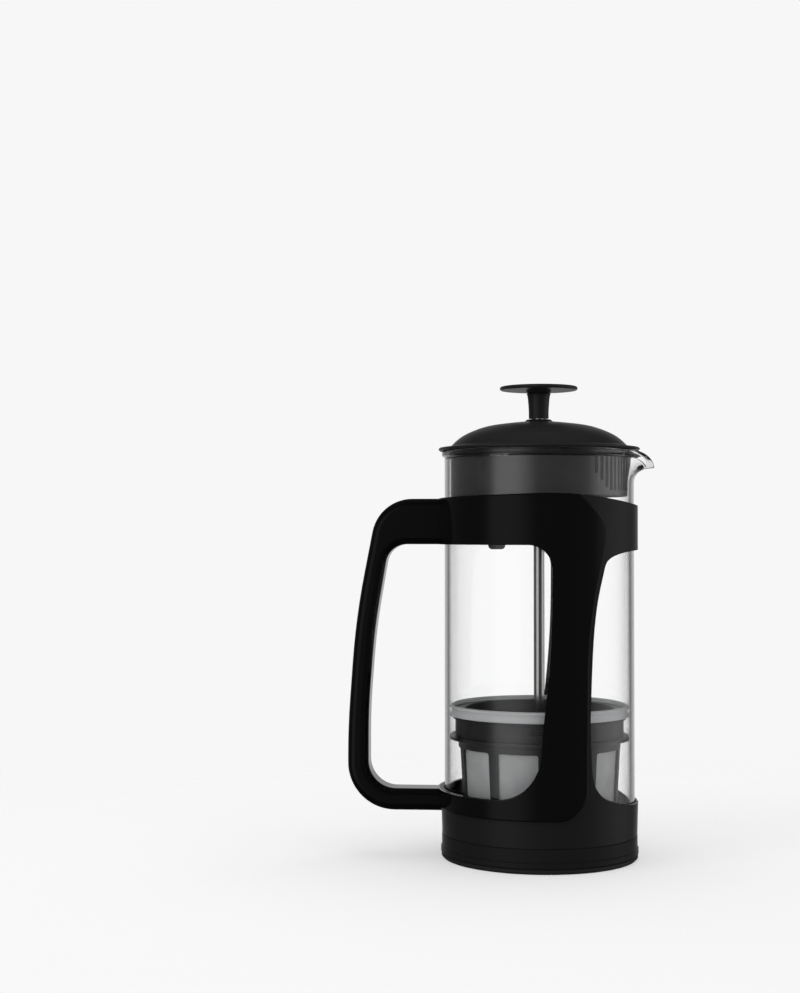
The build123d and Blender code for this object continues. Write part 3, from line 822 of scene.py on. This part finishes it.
class PRESS_OT_stage(bpy.types.Operator):
    """Lay the floor, light the press softly and set the camera"""

    bl_idname = "press.stage"
    bl_label = "Stage"

    def execute(self, context):
        settings = context.scene.press_stage
        scene = context.scene
        scene.view_settings.view_transform = "Standard"
        self.floor(colour_of(settings.backdrop))
        self.world(scene, colour_of(settings.backdrop))
        self.softbox("left_softbox", (-1.0, -0.8, 0.9), (0.6, 0.9), 5.0)
        self.softbox("top_softbox", (0.15, 0.1, 1.5), (1.1, 1.1), 8.0)
        self.camera(scene, settings)
        return {"FINISHED"}

    def floor(self, colour):
        """A pale card much larger than the press."""
        half = FLOOR_HALF
        points = [(-half, -half, 0), (half, -half, 0), (half, half, 0), (-half, half, 0)]
        mesh = bpy.data.meshes.new("floor")
        mesh.from_pydata(points, [], [(0, 1, 2, 3)])
        mesh.materials.append(pale_floor(colour))
        made = bpy.data.objects.new("floor", mesh)
        made.location.z = STAND_LOW
        # Kept out of mirror reflections, which see the dim room instead.
        made.visible_glossy = False
        bpy.context.scene.collection.objects.link(made)

    def world(self, scene, colour):
        """Bright backdrop behind everything, and a dimmer room for the reflections."""
        world = bpy.data.worlds.new("studio")
        world.use_nodes = True
        scene.world = world
        tree = world.node_tree
        tree.nodes.clear()
        output = add_node(tree, "ShaderNodeOutputWorld")
        direction = add_node(tree, "ShaderNodeTexCoord").outputs["Generated"]
        parts = add_node(tree, "ShaderNodeSeparateXYZ", inputs={"Vector": direction})
        # Azimuth from -pi to pi: 0 is the front, the spout's side is positive.
        to_front = add_node(
            tree,
            "ShaderNodeMath",
            settings={"operation": "MULTIPLY"},
            inputs={0: parts.outputs["Y"], 1: -1.0},
        )
        azimuth = add_node(
            tree,
            "ShaderNodeMath",
            settings={"operation": "ARCTAN2"},
            inputs={0: parts.outputs["X"], 1: to_front.outputs["Value"]},
        )
        share = add_node(
            tree,
            "ShaderNodeMapRange",
            inputs={"Value": azimuth.outputs["Value"], "From Min": -math.pi, "From Max": math.pi},
        )
        banks = add_node(tree, "ShaderNodeValToRGB", inputs={"Fac": share.outputs["Result"]})
        banks.color_ramp.interpolation = "B_SPLINE"
        stops = banks.color_ramp.elements
        while len(stops) < len(LIGHT_BANKS):
            stops.new(0.5)
        for stop, (degrees, level) in zip(stops, LIGHT_BANKS):
            stop.position = (degrees + 180) / 360
            stop.color = (level, level, level, 1.0)
        overhead = add_node(
            tree,
            "ShaderNodeMapRange",
            settings={"interpolation_type": "SMOOTHSTEP"},
            inputs={"Value": parts.outputs["Z"], "From Min": 0.45, "From Max": 1.0, "To Max": 0.12},
        )
        # The banks and the backdrop fade out above and below the level of the press.
        slope = add_node(
            tree, "ShaderNodeMath", settings={"operation": "ABSOLUTE"}, inputs={0: parts.outputs["Z"]}
        )
        level = add_node(
            tree,
            "ShaderNodeMapRange",
            settings={"interpolation_type": "SMOOTHSTEP"},
            inputs={
                "Value": slope.outputs["Value"],
                "From Min": 0.2,
                "From Max": 0.6,
                "To Min": banks.outputs["Color"],
                "To Max": 0.03,
            },
        )
        room = add_node(
            tree,
            "ShaderNodeMath",
            settings={"operation": "MAXIMUM"},
            inputs={0: level.outputs["Result"], 1: overhead.outputs["Result"]},
        )
        # Reflections see the dim room; the eye, matt surfaces and clear glass see the backdrop.
        path = add_node(tree, "ShaderNodeLightPath")
        glossy = add_node(tree, "ShaderNodeBackground", inputs={"Strength": room.outputs["Value"]})
        # Seen through glass the backdrop is drawn brighter, to make up for what the walls reflect away.
        behind_glass = add_node(
            tree,
            "ShaderNodeMapRange",
            inputs={
                "Value": path.outputs["Transmission Depth"],
                "From Max": 4.0,
                "To Min": 1.0,
                "To Max": 1.15,
            },
        )
        backdrop = add_node(
            tree,
            "ShaderNodeBackground",
            inputs={"Color": colour, "Strength": behind_glass.outputs["Result"]},
        )
        mixed = add_node(
            tree,
            "ShaderNodeMixShader",
            inputs={
                0: path.outputs["Glossy Depth"],
                1: backdrop.outputs["Background"],
                2: glossy.outputs["Background"],
            },
        )
        tree.links.new(mixed.outputs["Shader"], output.inputs["Surface"])

    def softbox(self, name, place, size, power):
        """A rectangular lamp that faces the middle of the press."""
        lamp = bpy.data.lights.new(name, "AREA")
        lamp.shape = "RECTANGLE"
        lamp.size, lamp.size_y = size
        lamp.energy = power
        made = bpy.data.objects.new(name, lamp)
        made.location = place
        target = Vector((0, 0, 0.12))
        made.rotation_mode = "QUATERNION"
        made.rotation_quaternion = (target - made.location).to_track_quat("-Z", "Y")
        made.visible_glossy = False
        bpy.context.scene.collection.objects.link(made)

    def camera(self, scene, settings):
        """A level camera in front of the press, turned a little left and up."""
        data = bpy.data.cameras.new("camera")
        data.sensor_width = 36.0
        data.lens = settings.lens
        data.clip_start = 0.05
        made = bpy.data.objects.new("camera", data)
        made.location = (0, -settings.distance, STAND_LOW + settings.height)
        look = Vector(
            (
                -math.sin(settings.pan) * math.cos(settings.tilt),
                math.cos(settings.pan) * math.cos(settings.tilt),
                math.sin(settings.tilt),
            )
        )
        made.rotation_mode = "QUATERNION"
        made.rotation_quaternion = look.to_track_quat("-Z", "Y")
        bpy.context.scene.collection.objects.link(made)
        scene.camera = made


class PRESS_PT_sidebar(bpy.types.Panel):
    """French press tools"""

    bl_idname = "PRESS_PT_sidebar"
    bl_label = "French press"
    bl_space_type = "VIEW_3D"
    bl_region_type = "UI"
    bl_category = "French press"

    def draw(self, context):
        for group in ("press_glass", "press_plastic", "press_mesh", "press_stage"):
            box = self.layout.box()
            settings = getattr(context.scene, group)
            for name in settings.__annotations__:
                box.prop(settings, name)
        for operator in STEPS:
            self.layout.operator(operator.bl_idname)


STEPS = (
    PRESS_OT_glass,
    PRESS_OT_mouldings,
    PRESS_OT_metal,
    PRESS_OT_filters,
    PRESS_OT_seal,
    PRESS_OT_stage,
)
GROUPS = {
    "press_glass": PressGlassSettings,
    "press_plastic": PressPlasticSettings,
    "press_mesh": PressMeshSettings,
    "press_stage": PressStageSettings,
}
CLASSES = (*GROUPS.values(), *STEPS, PRESS_PT_sidebar)


def register():
    for item in CLASSES:
        bpy.utils.register_class(item)
    for name, group in GROUPS.items():
        setattr(bpy.types.Scene, name, bpy.props.PointerProperty(type=group))


def unregister():
    for name in GROUPS:
        delattr(bpy.types.Scene, name)
    for item in reversed(CLASSES):
        bpy.utils.unregister_class(item)


def main():
    register()
    bpy.ops.press.glass()
    bpy.ops.press.mouldings()
    bpy.ops.press.metal()
    bpy.ops.press.filters()
    bpy.ops.press.seal()
    bpy.ops.press.stage()


if __name__ == "__main__":
    main()
